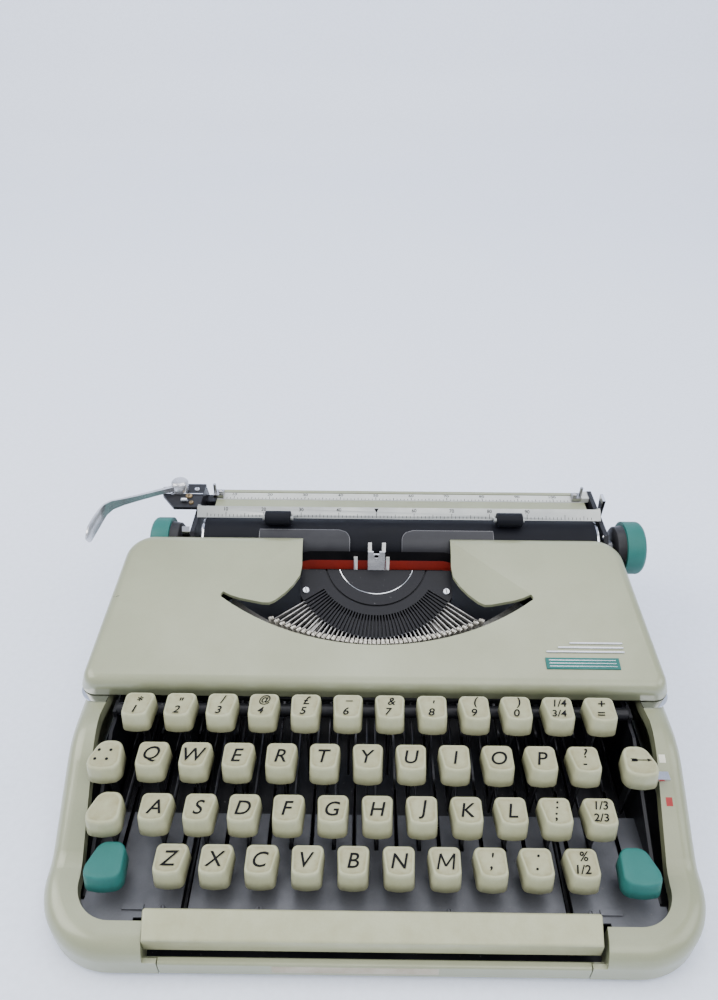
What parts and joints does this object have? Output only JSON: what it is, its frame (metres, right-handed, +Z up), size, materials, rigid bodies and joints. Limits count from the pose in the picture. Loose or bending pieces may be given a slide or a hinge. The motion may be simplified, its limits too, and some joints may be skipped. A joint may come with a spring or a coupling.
{
  "type": "portable typewriter",
  "caption": "Flat portable manual typewriter with a cream case, cream keys, green shift keys and platen knobs, and a sliding carriage.",
  "frame": {"origin": "on the table, under the middle of the whole machine's footprint with the carriage and return lever as stored", "axes": "+X towards the typist's right, +Y away from the typist, +Z up"},
  "size_m": [0.3072, 0.257, 0.086],
  "materials": {
    "shell": "satin pearl enamel, slightly yellowed",
    "black_steel": "semi-gloss black",
    "plate_grey": "satin dark grey",
    "rubber": "matt",
    "chrome": "polished",
    "steel": "satin",
    "key_cream": "moulded, lightly soiled",
    "green": "moulded",
    "ribbon": "inked, black over red",
    "scale": "printed scale"
  },
  "bodies": {
    "frame": {"lower_case": "shell", "base_pan": "black_steel", "rubber_feet": "rubber", "trim_strips": "chrome", "keyboard_plate": "plate_grey", "chassis": "black_steel", "card_guides": "plate_grey", "ribbon": "ribbon"},
    "cover": {"top_cover": "shell"},
    "basket": {"type_segment": "black_steel", "type_bars": "steel", "type_rest": "steel", "type_guide": "steel"},
    "ribbon_carrier": {"ribbon_vibrator": "steel"},
    "left_spool": {"spool_left": "black_steel"},
    "right_spool": {"spool_right": "black_steel"},
    "carriage": {"carriage_frame": "black_steel", "paper_table": "shell", "margin_scale": "scale"},
    "roller": {"platen": "rubber", "platen_knobs": "green"},
    "bail": {"paper_bail": "chrome", "bail_rollers": "rubber"},
    "line_lever": {"return_lever": "chrome"},
    "left_stop": {"margin_stop_left": "steel"},
    "right_stop": {"margin_stop_right": "steel"},
    "paper_release": {"paper_release_lever": "chrome"},
    "colour_lever": {"ribbon_selector": "chrome"},
    "bar": {"space_bar": "key_cream"},
    "shift": {"shift_keys": "green"},
    "lock": {"shift_lock": "key_cream"},
    "margin_key": {"margin_release": "key_cream"},
    "back_key": {"backspace": "key_cream"},
    "figures": {"figure_keys": "key_cream"},
    "key_body_q": {"key_q": "key_cream"},
    "key_body_w": {"key_w": "key_cream"},
    "key_body_e": {"key_e": "key_cream"},
    "key_body_r": {"key_r": "key_cream"},
    "key_body_t": {"key_t": "key_cream"},
    "key_body_y": {"key_y": "key_cream"},
    "key_body_u": {"key_u": "key_cream"},
    "key_body_i": {"key_i": "key_cream"},
    "key_body_o": {"key_o": "key_cream"},
    "key_body_p": {"key_p": "key_cream"},
    "key_body_a": {"key_a": "key_cream"},
    "key_body_s": {"key_s": "key_cream"},
    "key_body_d": {"key_d": "key_cream"},
    "key_body_f": {"key_f": "key_cream"},
    "key_body_g": {"key_g": "key_cream"},
    "key_body_h": {"key_h": "key_cream"},
    "key_body_j": {"key_j": "key_cream"},
    "key_body_k": {"key_k": "key_cream"},
    "key_body_l": {"key_l": "key_cream"},
    "key_body_z": {"key_z": "key_cream"},
    "key_body_x": {"key_x": "key_cream"},
    "key_body_c": {"key_c": "key_cream"},
    "key_body_v": {"key_v": "key_cream"},
    "key_body_b": {"key_b": "key_cream"},
    "key_body_n": {"key_n": "key_cream"},
    "key_body_m": {"key_m": "key_cream"}
  },
  "joints": [
    {"name": "bail_tilt", "type": "hinge", "parent": "carriage", "child": "bail", "pos_m": [0, 0.098, 0.062], "axis": [-1, 0, 0], "range_deg": [0, 45]},
    {"name": "carriage_travel", "type": "slide", "parent": "frame", "child": "carriage", "axis": [1, 0, 0], "range_m": [-0.095, 0.085]},
    {"name": "cover_lift", "type": "slide", "parent": "frame", "child": "cover", "axis": [0, 0, 1], "range_m": [0, 0.03]},
    {"name": "basket_shift", "type": "slide", "parent": "frame", "child": "basket", "axis": [0, 0, -1], "range_m": [0, 0.006], "stiffness_N_per_m": 500, "springref_m": -0.012},
    {"name": "shift_press", "type": "hinge", "parent": "frame", "child": "shift", "pos_m": [0, 0.05, 0.02], "axis": [1, 0, 0], "range_deg": [0, 2.14], "stiffness_Nm_per_rad": 0.8, "springref_deg": -5.73},
    {"name": "backspace_press", "type": "hinge", "parent": "frame", "child": "back_key", "pos_m": [0, 0.05, 0.02], "axis": [1, 0, 0], "range_deg": [0, 2.87], "stiffness_Nm_per_rad": 0.5, "springref_deg": -4.58},
    {"name": "margin_release_press", "type": "hinge", "parent": "frame", "child": "margin_key", "pos_m": [0, 0.05, 0.02], "axis": [1, 0, 0], "range_deg": [0, 2.87], "stiffness_Nm_per_rad": 0.5, "springref_deg": -4.58},
    {"name": "lock_press", "type": "hinge", "parent": "frame", "child": "lock", "pos_m": [0, 0.05, 0.02], "axis": [1, 0, 0], "range_deg": [0, 1.78], "stiffness_Nm_per_rad": 0.5, "springref_deg": -4.58},
    {"name": "figure_keys_press", "type": "hinge", "parent": "frame", "child": "figures", "pos_m": [0, 0.05, 0.02], "axis": [1, 0, 0], "range_deg": [0, 2.14], "stiffness_Nm_per_rad": 9, "springref_deg": -4.58},
    {"name": "space_bar_press", "type": "hinge", "parent": "frame", "child": "bar", "pos_m": [0, -0.069, 0.0094], "axis": [1, 0, 0], "range_deg": [0, 5], "stiffness_Nm_per_rad": 0.6, "springref_deg": -6.88},
    {"name": "line_lever_swing", "type": "hinge", "parent": "carriage", "child": "line_lever", "pos_m": [-0.113, 0.101, 0.08], "axis": [0, 0, 1], "range_deg": [0, 28], "stiffness_Nm_per_rad": 0.12, "springref_deg": -11.46},
    {"name": "margin_left_slide", "type": "slide", "parent": "carriage", "child": "left_stop", "axis": [1, 0, 0], "range_m": [0, 0.1]},
    {"name": "margin_right_slide", "type": "slide", "parent": "carriage", "child": "right_stop", "axis": [1, 0, 0], "range_m": [-0.1, 0]},
    {"name": "paper_release_pull", "type": "hinge", "parent": "carriage", "child": "paper_release", "pos_m": [0.132, 0.09, 0.064], "axis": [1, 0, 0], "range_deg": [0, 20]},
    {"name": "platen_turn", "type": "hinge", "parent": "carriage", "child": "roller", "pos_m": [0, 0.073, 0.06], "axis": [1, 0, 0], "continuous": true},
    {"name": "ribbon_lift", "type": "slide", "parent": "frame", "child": "ribbon_carrier", "axis": [0, 0, 1], "range_m": [0, 0.007]},
    {"name": "selector_tilt", "type": "hinge", "parent": "frame", "child": "colour_lever", "pos_m": [0.127, -0.056, 0.024], "axis": [1, 0, 0], "range_deg": [-5, 5]},
    {"name": "spool_left_turn", "type": "hinge", "parent": "frame", "child": "left_spool", "pos_m": [-0.104, 0.022, 0.05], "axis": [0, 0, 1], "continuous": true},
    {"name": "spool_right_turn", "type": "hinge", "parent": "frame", "child": "right_spool", "pos_m": [0.104, 0.022, 0.05], "axis": [0, 0, 1], "continuous": true},
    {"name": "type_key_q", "type": "hinge", "parent": "frame", "child": "key_body_q", "pos_m": [0, 0.05, 0.02], "axis": [1, 0, 0], "range_deg": [0, 2.87], "stiffness_Nm_per_rad": 0.5, "springref_deg": -4.58},
    {"name": "type_key_w", "type": "hinge", "parent": "frame", "child": "key_body_w", "pos_m": [0, 0.05, 0.02], "axis": [1, 0, 0], "range_deg": [0, 2.87], "stiffness_Nm_per_rad": 0.5, "springref_deg": -4.58},
    {"name": "type_key_e", "type": "hinge", "parent": "frame", "child": "key_body_e", "pos_m": [0, 0.05, 0.02], "axis": [1, 0, 0], "range_deg": [0, 2.87], "stiffness_Nm_per_rad": 0.5, "springref_deg": -4.58},
    {"name": "type_key_r", "type": "hinge", "parent": "frame", "child": "key_body_r", "pos_m": [0, 0.05, 0.02], "axis": [1, 0, 0], "range_deg": [0, 2.87], "stiffness_Nm_per_rad": 0.5, "springref_deg": -4.58},
    {"name": "type_key_t", "type": "hinge", "parent": "frame", "child": "key_body_t", "pos_m": [0, 0.05, 0.02], "axis": [1, 0, 0], "range_deg": [0, 2.87], "stiffness_Nm_per_rad": 0.5, "springref_deg": -4.58},
    {"name": "type_key_y", "type": "hinge", "parent": "frame", "child": "key_body_y", "pos_m": [0, 0.05, 0.02], "axis": [1, 0, 0], "range_deg": [0, 2.87], "stiffness_Nm_per_rad": 0.5, "springref_deg": -4.58},
    {"name": "type_key_u", "type": "hinge", "parent": "frame", "child": "key_body_u", "pos_m": [0, 0.05, 0.02], "axis": [1, 0, 0], "range_deg": [0, 2.87], "stiffness_Nm_per_rad": 0.5, "springref_deg": -4.58},
    {"name": "type_key_i", "type": "hinge", "parent": "frame", "child": "key_body_i", "pos_m": [0, 0.05, 0.02], "axis": [1, 0, 0], "range_deg": [0, 2.87], "stiffness_Nm_per_rad": 0.5, "springref_deg": -4.58},
    {"name": "type_key_o", "type": "hinge", "parent": "frame", "child": "key_body_o", "pos_m": [0, 0.05, 0.02], "axis": [1, 0, 0], "range_deg": [0, 2.87], "stiffness_Nm_per_rad": 0.5, "springref_deg": -4.58},
    {"name": "type_key_p", "type": "hinge", "parent": "frame", "child": "key_body_p", "pos_m": [0, 0.05, 0.02], "axis": [1, 0, 0], "range_deg": [0, 2.87], "stiffness_Nm_per_rad": 0.5, "springref_deg": -4.58},
    {"name": "type_key_a", "type": "hinge", "parent": "frame", "child": "key_body_a", "pos_m": [0, 0.05, 0.02], "axis": [1, 0, 0], "range_deg": [0, 2.44], "stiffness_Nm_per_rad": 0.5, "springref_deg": -4.58},
    {"name": "type_key_s", "type": "hinge", "parent": "frame", "child": "key_body_s", "pos_m": [0, 0.05, 0.02], "axis": [1, 0, 0], "range_deg": [0, 2.44], "stiffness_Nm_per_rad": 0.5, "springref_deg": -4.58},
    {"name": "type_key_d", "type": "hinge", "parent": "frame", "child": "key_body_d", "pos_m": [0, 0.05, 0.02], "axis": [1, 0, 0], "range_deg": [0, 2.44], "stiffness_Nm_per_rad": 0.5, "springref_deg": -4.58},
    {"name": "type_key_f", "type": "hinge", "parent": "frame", "child": "key_body_f", "pos_m": [0, 0.05, 0.02], "axis": [1, 0, 0], "range_deg": [0, 2.44], "stiffness_Nm_per_rad": 0.5, "springref_deg": -4.58},
    {"name": "type_key_g", "type": "hinge", "parent": "frame", "child": "key_body_g", "pos_m": [0, 0.05, 0.02], "axis": [1, 0, 0], "range_deg": [0, 2.44], "stiffness_Nm_per_rad": 0.5, "springref_deg": -4.58},
    {"name": "type_key_h", "type": "hinge", "parent": "frame", "child": "key_body_h", "pos_m": [0, 0.05, 0.02], "axis": [1, 0, 0], "range_deg": [0, 2.44], "stiffness_Nm_per_rad": 0.5, "springref_deg": -4.58},
    {"name": "type_key_j", "type": "hinge", "parent": "frame", "child": "key_body_j", "pos_m": [0, 0.05, 0.02], "axis": [1, 0, 0], "range_deg": [0, 2.44], "stiffness_Nm_per_rad": 0.5, "springref_deg": -4.58},
    {"name": "type_key_k", "type": "hinge", "parent": "frame", "child": "key_body_k", "pos_m": [0, 0.05, 0.02], "axis": [1, 0, 0], "range_deg": [0, 2.44], "stiffness_Nm_per_rad": 0.5, "springref_deg": -4.58},
    {"name": "type_key_l", "type": "hinge", "parent": "frame", "child": "key_body_l", "pos_m": [0, 0.05, 0.02], "axis": [1, 0, 0], "range_deg": [0, 2.44], "stiffness_Nm_per_rad": 0.5, "springref_deg": -4.58},
    {"name": "type_key_z", "type": "hinge", "parent": "frame", "child": "key_body_z", "pos_m": [0, 0.05, 0.02], "axis": [1, 0, 0], "range_deg": [0, 2.14], "stiffness_Nm_per_rad": 0.5, "springref_deg": -4.58},
    {"name": "type_key_x", "type": "hinge", "parent": "frame", "child": "key_body_x", "pos_m": [0, 0.05, 0.02], "axis": [1, 0, 0], "range_deg": [0, 2.14], "stiffness_Nm_per_rad": 0.5, "springref_deg": -4.58},
    {"name": "type_key_c", "type": "hinge", "parent": "frame", "child": "key_body_c", "pos_m": [0, 0.05, 0.02], "axis": [1, 0, 0], "range_deg": [0, 2.14], "stiffness_Nm_per_rad": 0.5, "springref_deg": -4.58},
    {"name": "type_key_v", "type": "hinge", "parent": "frame", "child": "key_body_v", "pos_m": [0, 0.05, 0.02], "axis": [1, 0, 0], "range_deg": [0, 2.14], "stiffness_Nm_per_rad": 0.5, "springref_deg": -4.58},
    {"name": "type_key_b", "type": "hinge", "parent": "frame", "child": "key_body_b", "pos_m": [0, 0.05, 0.02], "axis": [1, 0, 0], "range_deg": [0, 2.14], "stiffness_Nm_per_rad": 0.5, "springref_deg": -4.58},
    {"name": "type_key_n", "type": "hinge", "parent": "frame", "child": "key_body_n", "pos_m": [0, 0.05, 0.02], "axis": [1, 0, 0], "range_deg": [0, 2.14], "stiffness_Nm_per_rad": 0.5, "springref_deg": -4.58},
    {"name": "type_key_m", "type": "hinge", "parent": "frame", "child": "key_body_m", "pos_m": [0, 0.05, 0.02], "axis": [1, 0, 0], "range_deg": [0, 2.14], "stiffness_Nm_per_rad": 0.5, "springref_deg": -4.58}
  ],
  "couplings": [
    {"joint": "shift_press", "follows": "basket_shift", "rad_per_m": 6.2},
    {"joint": "spool_right_turn", "follows": "spool_left_turn", "ratio": 1}
  ]
}
